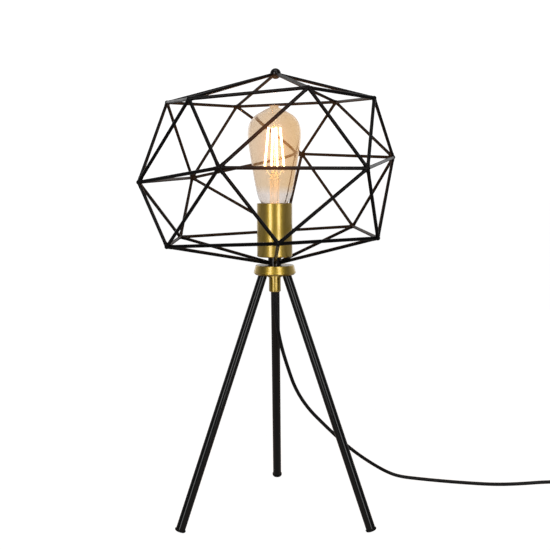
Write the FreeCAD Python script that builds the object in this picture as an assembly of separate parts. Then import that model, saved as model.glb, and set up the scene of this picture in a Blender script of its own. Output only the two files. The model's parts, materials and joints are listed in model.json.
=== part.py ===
import FreeCAD, Part
import math
import os

from FreeCAD import Vector

# Table lamp: a welded wire cage round a screw bulb, clamped on a brass hub with three tube legs.
# Millimetres. The origin is on the floor under the hub: +X right, +Y to the rear, +Z up.

# Shared fits
HOLE_CLEARANCE = 0.15
SEAT_CLEARANCE = 0.1
RUNNING_CLEARANCE = 0.3
PIVOT_CLEARANCE = 0.05

# Hub, turned from brass
HUB_BOTTOM = 286.5
HUB_THICKNESS = 11.5
HUB_TOP_RADIUS = 23.2
HUB_WIDEST_RADIUS = 25.5
HUB_BEVEL = 2.2
HUB_TOP_EDGE = 0.6

# Legs: tubes with a threaded stud at the top and a cap at the foot
LEG_BEARINGS = {"left": 210, "right": 330, "rear": 89}
LEG_RADIUS = 5.4
LEG_WALL = 1.2
FOOT_CIRCLE_RADIUS = 126.2
LEG_TOP_CIRCLE_RADIUS = 16.5
LEG_SOCKET_DEPTH = 4.0
STUD_RADIUS = 3.0
STUD_LENGTH = 6.0
STUD_PLUG_LENGTH = 14.0
FOOT_RADIUS = 6.3
FOOT_THICKNESS = 2.6
FOOT_ROUND = 2.0
FOOT_FLAT_DEPTH = 0.6
FOOT_SPIGOT_LENGTH = 10.0

# Threaded nipple and what it clamps
NIPPLE_RADIUS = 5.0
NIPPLE_BORE_RADIUS = 3.5
SPIDER_RADIUS = 8.0
SPIDER_HEIGHT = 10.0
SPOKE_RISE = 1.0
LOWER_WASHER_RADIUS = 8.8
LOWER_WASHER_THICKNESS = 3.0
TOOTHED_WASHER_RADIUS = 8.5
TOOTHED_WASHER_THICKNESS = 0.8
TOOTH_COUNT = 10
TOOTH_SLOT = 1.2
TOOTH_DEPTH = 2.0
NUT_ACROSS_FLATS = 14.0
NUT_HEIGHT = 4.0
OUTLET_RADIUS = 7.15
OUTLET_HEIGHT = 17.7
OUTLET_MOUTH_RADIUS = 3.4
OUTLET_LIP = 5.2
OUTLET_CHAMFER = 0.8
GRIP_HEIGHT = 3.5

# Cage of welded wire: corners as (bearing in degrees, rise above the hub's top), bent by hand
WIRE_RADIUS = 2.0
WELD_RADIUS = 2.8
WELD_MARGIN = 0.4
WELD_COLLAR = 0.2
APEX_RISE = 231.5
APEX_CENTRE = (1.7, 0.0)
APEX_BALL_RADIUS = 6.6
UPPER_RING_RADIUS = 130.0
UPPER_RING_CENTRE = (-6.4, -3.0)
UPPER_CORNERS = [(-20.6, 196.5), (47.6, 206), (110, 203), (167, 199.5), (228.2, 191), (289.2, 200)]
MIDDLE_RING_RADIUS = 160.0
MIDDLE_RING_CENTRE = (-5.9, 0.0)
MIDDLE_CORNERS = [(14.2, 131), (74, 140), (131.2, 107), (201, 100.3), (251.3, 114.4), (311.4, 114)]
LOWER_RING_RADIUS = 136.0
LOWER_RING_CENTRE = (-1.4, 2.0)
LOWER_CORNERS = [(-29.5, 36), (40, 42.2), (84, 34.5), (152, 30.2), (206.5, 26.5), (272.2, 34.6)]

# Lampholder cup
CUP_RADIUS = 21.3
CUP_HEIGHT = 64.5
CUP_WALL = 1.0
CUP_FLOOR = 1.2
CUP_ROUND = 1.5

# Bulb: an edison screw cap under a pear envelope with a tip
CAP_BELOW_RIM = 3.5
CAP_RADIUS = 13.0
CAP_SHEET = 0.4
CAP_LENGTH = 22.0
THREAD_PITCH = 3.62
THREAD_DEPTH = 0.7
THREAD_RIDGES = 3
THREAD_START = 3.0
INSULATOR_HEIGHT = 3.2
INSULATOR_SEAT = 2.0
TIP_RADIUS = 4.5
TIP_HEIGHT = 1.5
GLASS_WALL = 0.9
NECK_LENGTH = 5.0
ENVELOPE = [(18.0, 7.0), (22.0, 19.6), (26.5, 44.0), (30.4, 68.0), (32.2, 85.5), (30.6, 98.5),
            (23.0, 109.8), (14.3, 115.0), (9.0, 118.0), (5.0, 120.6)]
ENVELOPE_TIP = 122.0
STEM_FLARE_HEIGHT = 1.2
STEM_FLARE_RISE = 8.0
STEM_RADIUS = 5.8
STEM_SHOULDER = 34.0
STEM_TOP_RADIUS = 3.6
STEM_TOP = 42.0
STEM_ROD_RADIUS = 1.2
STEM_ROD_TOP = 98.0
FILAMENT_COUNT = 4
FILAMENT_BEARING = 16.5
FILAMENT_RADIUS = 1.0
FILAMENT_FOOT_RADIUS = 12.3
FILAMENT_FOOT_HEIGHT = 47.0
FILAMENT_HEAD_RADIUS = 7.4
FILAMENT_HEAD_HEIGHT = 95.0
SUPPORT_WIRE_RADIUS = 0.35
BOARD_WIDTH = 16.0
BOARD_THICKNESS = 1.6
BOARD_HEIGHT = 13.0

# Lampholder insert inside the cup
HOLDER_RADIUS = 17.5
HOLDER_SKIRT_WALL = 2.0
HOLDER_PLATE = 3.5
HOLDER_FLOOR = 4.0
HOLDER_BELOW_CAP_TOP = 4.0
SHELL_SHEET = 0.4
SHELL_FLANGE = 2.15
CONTACT_RISE = 4.0
CONTACT_SHEET = 0.4
CONTACT_WIDTH = 6.0
CONTACT_HEEL = 10.0
CONTACT_BEND = 4.5
CONTACT_TOE = 3.0
TERMINAL_RADIUS = 1.25
TERMINAL_HEAD_RADIUS = 2.4
TERMINAL_HEAD_HEIGHT = 2.2
CENTRE_TERMINAL_OFFSET = 8.0
CONDUCTOR_RADIUS = 1.0
CONDUCTOR_SPACING = 2.4
CONDUCTOR_BEND_RISE = 4.0

# Mains cord: straight out of the outlet, down to the floor and away to the right
CORD_RADIUS = 2.25
ROUND_SHARE = 0.45
FLOOR_GAP = 0.05
FLOOR_LINE = CORD_RADIUS + FLOOR_GAP
LEAD_ROUTE = [
    (0, 0, 247), (3, 3, 221), (8, 9, 196), (15.5, 18, 170), (25, 31, 140.5), (41, 48, 112),
    (62.5, 67, 86), (89, 84, 57), (111, 99, 36), (134.5, 109, 18.2), (152.5, 115, 7), (167.5, 114, FLOOR_LINE),
    (190, 105.5, FLOOR_LINE), (221, 96, FLOOR_LINE), (254, 88, FLOOR_LINE), (288, 82, FLOOR_LINE),
    (321, 78.3, 4.6), (353, 77, 7.5),
]

# Inline rocker switch on the cord
SWITCH_PLACE = (396.0, 77.0)
SWITCH_LENGTH = 56.0
SWITCH_WIDTH = 24.0
SWITCH_BASE_HEIGHT = 7.5
SWITCH_COVER_HEIGHT = 7.5
SWITCH_WALL = 2.0
SWITCH_CORNER_ROUND = 7.0
SWITCH_EDGE_ROUND = 1.5
SWITCH_CAVITY_LENGTH = 32.0
SWITCH_SCREW_RADIUS = 1.25
SWITCH_SCREW_HEAD_RADIUS = 2.5
SWITCH_SCREW_HEAD = 1.6
SWITCH_SCREW_LENGTH = 10.0
SWITCH_SCREW_ALONG = 21.0
SWITCH_SCREW_ACROSS = 7.0
CLAMP_LENGTH = 5.0
CLAMP_WIDTH = 9.0
CLAMP_ABOVE_CORD = 1.2
TERMINAL_BLOCK = (8.0, 6.0, 4.5)
TERMINAL_BLOCK_OFFSET = 5.0
ROCKER_RADIUS = 9.0
ROCKER_WIDTH = 9.0
ROCKER_BELOW = 3.0
ROCKER_ABOVE = 4.4
ROCKER_DISH_RADIUS = 24.0
ROCKER_DISH_DEPTH = 1.8
ROCKER_PIVOT_BELOW_TOP = 2.6
ROCKER_PIN_RADIUS = 1.2
ROCKER_PIN_LENGTH = 2.0
ROCKER_LUG = 2.6
ROCKER_TILT = 7.0

# Put-away coil of the rest of the cord, with a strap tie
COIL_REACH = 484.0
COIL_OUTER_RADIUS = 34.6
COIL_PITCH = 5.1
COIL_LAYER_RISE = 5.0
COIL_HALF_TURNS = 6
TIE_WIDTH = 8.0
TIE_THICKNESS = 0.8
LINK_END_SHARE = 0.33

# Two-pin plug at the end of the cord
PLUG_REAR = 445.0
PLUG_LENGTH = 36.0
PLUG_SHOULDER = 15.0
PLUG_WIDTH = 35.0
PLUG_REAR_WIDTH = 16.0
PLUG_HEIGHT = 15.0
PLUG_ROUND = 2.0
PIN_RADIUS = 2.0
PIN_LENGTH = 19.0
PIN_ROOT_RADIUS = 1.6
PIN_ROOT = 9.0
PIN_SPACING = 19.0
PIN_TIP_ROUND = 1.2
RELIEF_LENGTH = 22.0
RELIEF_ROOT_RADIUS = 4.8
RELIEF_TIP_RADIUS = 3.3

# Heights of the stack, from the hub outwards
HUB_TOP = HUB_BOTTOM + HUB_THICKNESS
CUP_BOTTOM = HUB_TOP + SPIDER_HEIGHT
CUP_TOP = CUP_BOTTOM + CUP_HEIGHT
WASHER_SEAT = CUP_BOTTOM + CUP_FLOOR
NUT_SEAT = WASHER_SEAT + TOOTHED_WASHER_THICKNESS
HOLDER_BOTTOM = NUT_SEAT + NUT_HEIGHT
NIPPLE_TOP = HOLDER_BOTTOM + HOLDER_PLATE
OUTLET_TOP = HUB_BOTTOM - LOWER_WASHER_THICKNESS
OUTLET_BOTTOM = OUTLET_TOP - OUTLET_HEIGHT
GRIP_SEAT = OUTLET_BOTTOM + OUTLET_LIP
GRIP_TOP = GRIP_SEAT + GRIP_HEIGHT
CAP_TOP = CUP_TOP - CAP_BELOW_RIM
CAP_BOTTOM = CAP_TOP - CAP_LENGTH
INSULATOR_BOTTOM = CAP_BOTTOM - INSULATOR_HEIGHT
TIP_BOTTOM = INSULATOR_BOTTOM - TIP_HEIGHT
CONTACT_TOP = TIP_BOTTOM - RUNNING_CLEARANCE
HOLDER_FLOOR_TOP = CONTACT_TOP - CONTACT_RISE
HOLDER_FLOOR_BOTTOM = HOLDER_FLOOR_TOP - HOLDER_FLOOR
HOLDER_TOP = CAP_TOP - HOLDER_BELOW_CAP_TOP

# Radii that follow from one another
THREADED_HOLE_RADIUS = NIPPLE_RADIUS + HOLE_CLEARANCE
LEG_BORE_RADIUS = LEG_RADIUS - LEG_WALL
LEG_PLUG_RADIUS = LEG_BORE_RADIUS - SEAT_CLEARANCE
CAP_BORE_RADIUS = CAP_RADIUS - CAP_SHEET
NECK_RADIUS = CAP_BORE_RADIUS - HOLE_CLEARANCE
SHELL_INNER_RADIUS = CAP_RADIUS + RUNNING_CLEARANCE
SHELL_OUTER_RADIUS = SHELL_INNER_RADIUS + SHELL_SHEET
HOLDER_BORE_RADIUS = SHELL_OUTER_RADIUS + SEAT_CLEARANCE
SHELL_TERMINAL_OFFSET = SHELL_OUTER_RADIUS - TERMINAL_RADIUS - SEAT_CLEARANCE
CORD_HOLE_RADIUS = CORD_RADIUS + HOLE_CLEARANCE

# Legs lean outwards by this much
LEAN = math.atan2(FOOT_CIRCLE_RADIUS - LEG_TOP_CIRCLE_RADIUS, HUB_BOTTOM)
LEG_TOP = HUB_BOTTOM / math.cos(LEAN) + LEG_SOCKET_DEPTH
FOOT_RISE = (FOOT_RADIUS - FOOT_ROUND) * math.sin(LEAN) + FOOT_ROUND * (1 - math.cos(LEAN)) - FOOT_FLAT_DEPTH
FOOT_BOTTOM = FOOT_RISE / math.cos(LEAN)
FOOT_TOP = FOOT_BOTTOM + FOOT_THICKNESS

# Places along the cord
COIL_LOW = TIE_THICKNESS + RUNNING_CLEARANCE + CORD_RADIUS
COIL_HIGH = COIL_LOW + COIL_LAYER_RISE
COIL_CENTRE = Vector(COIL_REACH, SWITCH_PLACE[1] + COIL_OUTER_RADIUS, 0)
COIL_INNER_RADIUS = COIL_OUTER_RADIUS - COIL_PITCH / 2 * COIL_HALF_TURNS
CORD_IN_SWITCH = SWITCH_CAVITY_LENGTH / 2 - CLAMP_LENGTH
SWITCH_ENTRY = Vector(SWITCH_PLACE[0] - CORD_IN_SWITCH, SWITCH_PLACE[1], SWITCH_BASE_HEIGHT)
SWITCH_EXIT = Vector(SWITCH_PLACE[0] + CORD_IN_SWITCH, SWITCH_PLACE[1], SWITCH_BASE_HEIGHT)
SWITCH_TOP = SWITCH_BASE_HEIGHT + SWITCH_COVER_HEIGHT
PIVOT_HEIGHT = SWITCH_TOP - ROCKER_PIVOT_BELOW_TOP
PLUG_ENTRY = Vector(PLUG_REAR, COIL_CENTRE.y + COIL_OUTER_RADIUS, COIL_HIGH)

SIDES = 6
BEAD_ROLLS = range(-60, 61, 10)
STRAIGHT_END = 2 * CORD_RADIUS
EDGE_TOLERANCE = 0.01
UP = Vector(0, 0, 1)
RIGHT = Vector(1, 0, 0)
REAR = Vector(0, 1, 0)


# Shared shapes

def save(name, *solids):
    """Write one node, as one solid or as a group of separate solids."""
    shape = solids[0] if len(solids) == 1 else Part.makeCompound(list(solids))
    shape.exportStep(f"parts/{name}.step")


def polar(radius, bearing, height, centre=(0.0, 0.0)):
    angle = math.radians(bearing)
    return Vector(centre[0] + radius * math.cos(angle), centre[1] + radius * math.sin(angle), height)


def cylinder(radius, bottom, top, x=0.0, y=0.0):
    return Part.makeCylinder(radius, top - bottom, Vector(x, y, bottom))


def ring(outer_radius, inner_radius, bottom, top):
    return cylinder(outer_radius, bottom, top).cut(cylinder(inner_radius, bottom, top))


def rod(start, end, radius):
    along = end - start
    return Part.makeCylinder(radius, along.Length, start, along)


def box(length, width, bottom, top, x=0.0, y=0.0):
    """Upright box centred on a point in plan."""
    return Part.makeBox(length, width, top - bottom, Vector(x - length / 2, y - width / 2, bottom))


def turned(outline):
    """Solid of revolution about the Z axis of an outline of (radius, height) corners."""
    corners = [Vector(radius, 0, height) for radius, height in outline]
    face = Part.Face(Part.makePolygon(corners + corners[:1]))
    return face.revolve(Vector(0, 0, 0), UP, 360)


def edges_at(shape, height):
    """Edges that lie flat at one height."""
    flat = [edge for edge in shape.Edges if edge.BoundBox.ZLength < EDGE_TOLERANCE]
    return [edge for edge in flat if abs(edge.CenterOfMass.z - height) < EDGE_TOLERANCE]


def rims(shape):
    """Edges that are whole circles."""
    return [edge for edge in shape.Edges if edge.isClosed()]


def upright_edges(shape):
    return [edge for edge in shape.Edges if edge.BoundBox.ZLength > shape.BoundBox.ZLength / 2]


def swept_tube(path, start, direction, radius):
    profile = Part.Wire(Part.makeCircle(radius, start, direction))
    return path.makePipeShell([profile], True, False)


def route_path(points):
    """Straight runs joined by tangent arcs, each as large as its two runs allow, and the arcs' radii."""
    edges = []
    radii = []
    start = points[0]
    for before, corner, after in zip(points, points[1:], points[2:]):
        run_in = corner - before
        run_out = after - corner
        half_turn = run_in.getAngle(run_out) / 2
        trim = ROUND_SHARE * min(run_in.Length, run_out.Length)
        run_in.normalize()
        run_out.normalize()
        radius = trim / math.tan(half_turn)
        inwards = (run_out - run_in).normalize()
        middle = corner + inwards * (radius / math.cos(half_turn) - radius)
        arc_start = corner - run_in * trim
        arc_end = corner + run_out * trim
        edges.append(Part.LineSegment(start, arc_start).toShape())
        edges.append(Part.Arc(arc_start, middle, arc_end).toShape())
        radii.append(radius)
        start = arc_end
    edges.append(Part.LineSegment(start, points[-1]).toShape())
    return Part.Wire(edges), radii


def routed_tube(name, points, radius):
    """Tube along a route, with its radii and volume printed."""
    path, radii = route_path(points)
    tube = swept_tube(path, points[0], points[1] - points[0], radius)
    share = tube.Volume / (math.pi * radius ** 2 * path.Length)
    runs = [(second - first).Length for first, second in zip(points, points[1:])]
    print(f"{name}: length {path.Length:.0f}, volume share {share:.4f}")
    print("  runs", [round(run) for run in runs], "radii", [round(value) for value in radii])
    return tube


# Legs

def leg_point(bearing, along):
    """Point on a leg's axis, measured up along it from the floor."""
    return polar(FOOT_CIRCLE_RADIUS - along * math.sin(LEAN), bearing, along * math.cos(LEAN))


def leg_rod(bearing, radius, start, end):
    return rod(leg_point(bearing, start), leg_point(bearing, end), radius)


def leg_tube(bearing):
    outside = leg_rod(bearing, LEG_RADIUS, FOOT_TOP, LEG_TOP)
    return outside.cut(leg_rod(bearing, LEG_BORE_RADIUS, FOOT_TOP, LEG_TOP))


def leg_stud(bearing):
    plug = leg_rod(bearing, LEG_PLUG_RADIUS, LEG_TOP - STUD_PLUG_LENGTH, LEG_TOP)
    return plug.fuse(leg_rod(bearing, STUD_RADIUS, LEG_TOP, LEG_TOP + STUD_LENGTH))


def foot_cap(bearing):
    """Cap with a rounded lower edge, worn flat where it stands on the floor."""
    flange = leg_rod(bearing, FOOT_RADIUS, FOOT_BOTTOM, FOOT_TOP)
    lower_edge = min(rims(flange), key=lambda edge: edge.CenterOfMass.z)
    flange = flange.makeFillet(FOOT_ROUND, [lower_edge])
    spigot = leg_rod(bearing, LEG_PLUG_RADIUS, FOOT_TOP, FOOT_TOP + FOOT_SPIGOT_LENGTH)
    place = leg_point(bearing, 0)
    below_floor = box(4 * FOOT_RADIUS, 4 * FOOT_RADIUS, -2 * FOOT_RADIUS, 0, place.x, place.y)
    return flange.fuse(spigot).cut(below_floor)


def make_legs():
    for name, bearing in LEG_BEARINGS.items():
        save(f"leg_{name}", leg_tube(bearing))
        save(f"foot_{name}", foot_cap(bearing))
    save("leg_studs", *[leg_stud(bearing) for bearing in LEG_BEARINGS.values()])


# Hub and the stack on the nipple

def hub():
    body = turned([
        (THREADED_HOLE_RADIUS, HUB_BOTTOM),
        (HUB_WIDEST_RADIUS - HUB_BEVEL, HUB_BOTTOM),
        (HUB_WIDEST_RADIUS, HUB_BOTTOM + HUB_BEVEL),
        (HUB_TOP_RADIUS, HUB_TOP - HUB_TOP_EDGE),
        (HUB_TOP_RADIUS - HUB_TOP_EDGE, HUB_TOP),
        (THREADED_HOLE_RADIUS, HUB_TOP),
    ])
    for bearing in LEG_BEARINGS.values():
        mouth = LEG_TOP - LEG_SOCKET_DEPTH - 2 * LEG_RADIUS
        body = body.cut(leg_rod(bearing, LEG_RADIUS + SEAT_CLEARANCE, mouth, LEG_TOP))
        body = body.cut(leg_rod(bearing, STUD_RADIUS + SEAT_CLEARANCE, LEG_TOP, LEG_TOP + STUD_LENGTH))
    return body


def toothed_washer():
    body = ring(TOOTHED_WASHER_RADIUS, THREADED_HOLE_RADIUS, WASHER_SEAT, NUT_SEAT)
    slot = box(2 * TOOTH_DEPTH, TOOTH_SLOT, WASHER_SEAT, NUT_SEAT, TOOTHED_WASHER_RADIUS)
    for tooth in range(TOOTH_COUNT):
        body = body.cut(slot.rotated(Vector(0, 0, 0), UP, tooth * 360 / TOOTH_COUNT))
    return body


def cup_nut():
    across_corners = NUT_ACROSS_FLATS / math.cos(math.pi / SIDES) / 2
    corners = [polar(across_corners, side * 360 / SIDES, NUT_SEAT) for side in range(SIDES)]
    prism = Part.Face(Part.makePolygon(corners + corners[:1])).extrude(UP * NUT_HEIGHT)
    return prism.cut(cylinder(THREADED_HOLE_RADIUS, NUT_SEAT, HOLDER_BOTTOM))


def cord_outlet():
    return turned([
        (OUTLET_MOUTH_RADIUS, OUTLET_BOTTOM),
        (OUTLET_RADIUS - OUTLET_CHAMFER, OUTLET_BOTTOM),
        (OUTLET_RADIUS, OUTLET_BOTTOM + OUTLET_CHAMFER),
        (OUTLET_RADIUS, OUTLET_TOP),
        (THREADED_HOLE_RADIUS, OUTLET_TOP),
        (THREADED_HOLE_RADIUS, GRIP_SEAT),
        (OUTLET_MOUTH_RADIUS, GRIP_SEAT),
    ])


def cup():
    outside = cylinder(CUP_RADIUS, CUP_BOTTOM, CUP_TOP)
    outside = outside.makeFillet(CUP_ROUND, edges_at(outside, CUP_BOTTOM))
    inside = cylinder(CUP_RADIUS - CUP_WALL, WASHER_SEAT, CUP_TOP)
    inside = inside.makeFillet(CUP_ROUND - CUP_WALL, edges_at(inside, WASHER_SEAT))
    return outside.cut(inside).cut(cylinder(THREADED_HOLE_RADIUS, CUP_BOTTOM, WASHER_SEAT))


def make_stack():
    save("hub", hub())
    save("nipple", ring(NIPPLE_RADIUS, NIPPLE_BORE_RADIUS, GRIP_TOP, NIPPLE_TOP))
    save("spider_ring", ring(SPIDER_RADIUS, THREADED_HOLE_RADIUS, HUB_TOP, CUP_BOTTOM))
    save("lower_washer", ring(LOWER_WASHER_RADIUS, THREADED_HOLE_RADIUS, OUTLET_TOP, HUB_BOTTOM))
    save("toothed_washer", toothed_washer())
    save("cup_nut", cup_nut())
    save("cord_outlet", cord_outlet())
    save("cord_grip", cylinder(NIPPLE_RADIUS, GRIP_SEAT, GRIP_TOP))
    save("cup", cup())


# Cage

def cage_corners():
    corners = {"apex": Vector(*APEX_CENTRE, HUB_TOP + APEX_RISE), "spider": Vector(0, 0, HUB_TOP + SPOKE_RISE)}
    rings = {
        "upper": (UPPER_RING_RADIUS, UPPER_RING_CENTRE, UPPER_CORNERS),
        "middle": (MIDDLE_RING_RADIUS, MIDDLE_RING_CENTRE, MIDDLE_CORNERS),
        "lower": (LOWER_RING_RADIUS, LOWER_RING_CENTRE, LOWER_CORNERS),
    }
    for level, (radius, centre, places) in rings.items():
        for side, (bearing, rise) in enumerate(places):
            corners[level, side] = polar(radius, bearing, HUB_TOP + rise, centre)
    return corners


def cage_wires():
    """Each family of wires, as pairs of the corners that a wire joins."""
    sides = range(SIDES)
    before = [(side - 1) % SIDES for side in sides]
    after = [(side + 1) % SIDES for side in sides]
    return {
        "cage_top_spokes": [("apex", ("upper", side)) for side in sides],
        "cage_upper_ring": [(("upper", side), ("upper", after[side])) for side in sides],
        "cage_upper_lattice_left": [(("upper", side), ("middle", before[side])) for side in sides],
        "cage_upper_lattice_right": [(("upper", side), ("middle", side)) for side in sides],
        "cage_middle_ring": [(("middle", side), ("middle", after[side])) for side in sides],
        "cage_lower_lattice_left": [(("lower", side), ("middle", before[side])) for side in sides],
        "cage_lower_lattice_right": [(("lower", side), ("middle", side)) for side in sides],
        "cage_lower_ring": [(("lower", side), ("lower", after[side])) for side in sides],
        "cage_bottom_spokes": [("spider", ("lower", side)) for side in sides],
    }


def weld_reach(ways):
    """Distance from a corner at which its wires have parted from each other and from the bead."""
    sharpest = min(first.getAngle(second) for count, first in enumerate(ways) for second in ways[:count])
    return max(WELD_RADIUS, WIRE_RADIUS / math.sin(sharpest / 2)) + WELD_MARGIN


def bead(corner, ways):
    """Ball of weld, turned so that its seam faces outwards and its poles stay clear of the wires."""
    outwards = Vector(corner.x, corner.y, 0).normalize()

    def clearance(roll):
        pole = FreeCAD.Rotation(outwards, roll).multVec(UP)
        return min(min(way.getAngle(pole), way.getAngle(-pole)) for way in ways)

    best_roll = max(BEAD_ROLLS, key=clearance)
    bearing = math.degrees(math.atan2(corner.y, corner.x))
    ball = Part.makeSphere(WELD_RADIUS).rotated(Vector(0, 0, 0), UP, bearing)
    return ball.rotated(Vector(0, 0, 0), outwards, best_roll).translated(corner)


def weld(corner, ways, reach):
    """Bead of weld with a collar round each wire end that runs into it."""
    collars = [rod(corner, corner + way * reach, WIRE_RADIUS + WELD_COLLAR) for way in ways]
    return bead(corner, ways).multiFuse(collars)


def make_cage():
    corners = cage_corners()
    families = cage_wires()
    ways = {name: [] for name in corners}
    for first, second in [pair for family in families.values() for pair in family]:
        ways[first].append((corners[second] - corners[first]).normalize())
        ways[second].append((corners[first] - corners[second]).normalize())
    welded = [name for name in corners if name not in ("apex", "spider")]
    reach = {name: weld_reach(ways[name]) for name in welded}
    reach["apex"] = APEX_BALL_RADIUS - WIRE_RADIUS
    reach["spider"] = SPIDER_RADIUS - WIRE_RADIUS

    apex_ball = Part.makeSphere(APEX_BALL_RADIUS, corners["apex"])
    spider_core = cylinder(SPIDER_RADIUS, HUB_TOP, CUP_BOTTOM)
    held_in = {"apex": apex_ball, "spider": spider_core}
    for family, pairs in families.items():
        wires = []
        for first, second in pairs:
            along = (corners[second] - corners[first]).normalize()
            start = corners[first] + along * reach[first]
            end = corners[second] - along * reach[second]
            wire = rod(start, end, WIRE_RADIUS)
            wires.append(wire.cut(held_in[first]) if first in held_in else wire)
        save(family, *wires)
    for level in ("upper", "middle", "lower"):
        names = [name for name in welded if name[0] == level]
        save(f"cage_{level}_welds", *[weld(corners[name], ways[name], reach[name]) for name in names])
    save("apex_ball", apex_ball)


# Bulb

def envelope_edge(points, tip):
    """Smooth side of the envelope, leaning out of the neck and level at the tip."""
    curve = Part.BSplineCurve()
    path = [Vector(radius, 0, height) for radius, height in points + [(0, tip)]]
    curve.interpolate(Points=path, InitialTangent=Vector(1, 0, 1), FinalTangent=Vector(-1, 0, 0))
    return curve.toShape()


def envelope_solid(inset):
    """The envelope's space, drawn in by a wall thickness, down to the end of its neck."""
    neck = NECK_RADIUS - inset
    side = [(radius - inset, CAP_TOP + rise) for radius, rise in ENVELOPE]
    tip = CAP_TOP + ENVELOPE_TIP - inset
    bottom = CAP_TOP - NECK_LENGTH
    corners = [Vector(0, 0, tip), Vector(0, 0, bottom), Vector(neck, 0, bottom), Vector(neck, 0, CAP_TOP)]
    edges = list(Part.makePolygon(corners).Edges)
    edges.append(envelope_edge([(neck, CAP_TOP)] + side, tip))
    return Part.Face(Part.Wire(edges)).revolve(Vector(0, 0, 0), UP, 360)


def cap_shell():
    """Thin cap with its thread drawn as level ridges, so that it can turn in the holder."""
    outside = [(CAP_RADIUS, CAP_BOTTOM)]
    for ridge in range(THREAD_RIDGES):
        start = CAP_BOTTOM + THREAD_START + ridge * THREAD_PITCH
        outside.append((CAP_RADIUS, start))
        outside.append((CAP_RADIUS - THREAD_DEPTH, start + THREAD_PITCH / 2))
    outside.append((CAP_RADIUS, CAP_BOTTOM + THREAD_START + THREAD_RIDGES * THREAD_PITCH))
    outside.append((CAP_RADIUS, CAP_TOP))
    inside = [(radius - CAP_SHEET, height) for radius, height in reversed(outside)]
    return turned(outside + inside)


def cap_insulator():
    seat_radius = CAP_BORE_RADIUS - HOLE_CLEARANCE
    return turned([
        (0, INSULATOR_BOTTOM),
        (TIP_RADIUS, INSULATOR_BOTTOM),
        (seat_radius, CAP_BOTTOM),
        (seat_radius, CAP_BOTTOM + INSULATOR_SEAT),
        (0, CAP_BOTTOM + INSULATOR_SEAT),
    ])


def stem():
    """Glass mount: a flare in the neck, a tube, a pinched top and a rod up the middle."""
    flare_radius = NECK_RADIUS - GLASS_WALL - SEAT_CLEARANCE
    bottom = CAP_TOP - NECK_LENGTH
    return turned([
        (0, bottom),
        (flare_radius, bottom),
        (flare_radius, bottom + STEM_FLARE_HEIGHT),
        (STEM_RADIUS, bottom + STEM_FLARE_RISE),
        (STEM_RADIUS, CAP_TOP + STEM_SHOULDER),
        (STEM_TOP_RADIUS, CAP_TOP + STEM_TOP),
        (STEM_ROD_RADIUS, CAP_TOP + STEM_TOP),
        (STEM_ROD_RADIUS, CAP_TOP + STEM_ROD_TOP),
        (0, CAP_TOP + STEM_ROD_TOP),
    ])


def make_bulb():
    glass = envelope_solid(0).cut(envelope_solid(GLASS_WALL))
    mount = stem()
    sticks = []
    supports = []
    for count in range(FILAMENT_COUNT):
        bearing = FILAMENT_BEARING + count * 360 / FILAMENT_COUNT
        foot = polar(FILAMENT_FOOT_RADIUS, bearing, CAP_TOP + FILAMENT_FOOT_HEIGHT)
        head = polar(FILAMENT_HEAD_RADIUS, bearing, CAP_TOP + FILAMENT_HEAD_HEIGHT)
        stick = rod(foot, head, FILAMENT_RADIUS)
        root = polar(STEM_TOP_RADIUS - 2 * SUPPORT_WIRE_RADIUS, bearing, CAP_TOP + STEM_SHOULDER)
        crown = Vector(0, 0, CAP_TOP + FILAMENT_HEAD_HEIGHT)
        for start, end in ((root, foot), (crown, head)):
            supports.append(rod(start, end, SUPPORT_WIRE_RADIUS).cut(mount).cut(stick))
        sticks.append(stick)
    board_bottom = CAP_BOTTOM + INSULATOR_SEAT
    save("bulb_glass", glass)
    save("bulb_cap", cap_shell())
    save("bulb_insulator", cap_insulator())
    save("bulb_tip_contact", cylinder(TIP_RADIUS, TIP_BOTTOM, INSULATOR_BOTTOM))
    save("bulb_stem", mount)
    save("bulb_filaments", *sticks)
    save("bulb_support_wires", *supports)
    save("bulb_driver_board", box(BOARD_WIDTH, BOARD_THICKNESS, board_bottom, board_bottom + BOARD_HEIGHT))


# Lampholder insert

def terminal_places():
    return [Vector(CENTRE_TERMINAL_OFFSET, 0, 0), Vector(-SHELL_TERMINAL_OFFSET, 0, 0)]


def holder_base():
    bore = HOLDER_RADIUS - HOLDER_SKIRT_WALL
    return turned([
        (THREADED_HOLE_RADIUS, HOLDER_BOTTOM),
        (HOLDER_RADIUS, HOLDER_BOTTOM),
        (HOLDER_RADIUS, HOLDER_FLOOR_BOTTOM),
        (bore, HOLDER_FLOOR_BOTTOM),
        (bore, NIPPLE_TOP),
        (THREADED_HOLE_RADIUS, NIPPLE_TOP),
    ])


def holder_body():
    body = cylinder(HOLDER_RADIUS, HOLDER_FLOOR_BOTTOM, HOLDER_TOP)
    body = body.cut(cylinder(HOLDER_BORE_RADIUS, HOLDER_FLOOR_TOP, HOLDER_TOP))
    for place in terminal_places():
        hole_radius = TERMINAL_RADIUS + SEAT_CLEARANCE
        body = body.cut(cylinder(hole_radius, HOLDER_FLOOR_BOTTOM, HOLDER_FLOOR_TOP, place.x))
    return body


def screw_shell():
    flange_top = HOLDER_FLOOR_TOP + SHELL_SHEET
    return turned([
        (SHELL_OUTER_RADIUS - SHELL_FLANGE, HOLDER_FLOOR_TOP),
        (SHELL_OUTER_RADIUS, HOLDER_FLOOR_TOP),
        (SHELL_OUTER_RADIUS, HOLDER_TOP),
        (SHELL_INNER_RADIUS, HOLDER_TOP),
        (SHELL_INNER_RADIUS, flange_top),
        (SHELL_OUTER_RADIUS - SHELL_FLANGE, flange_top),
    ])


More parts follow.
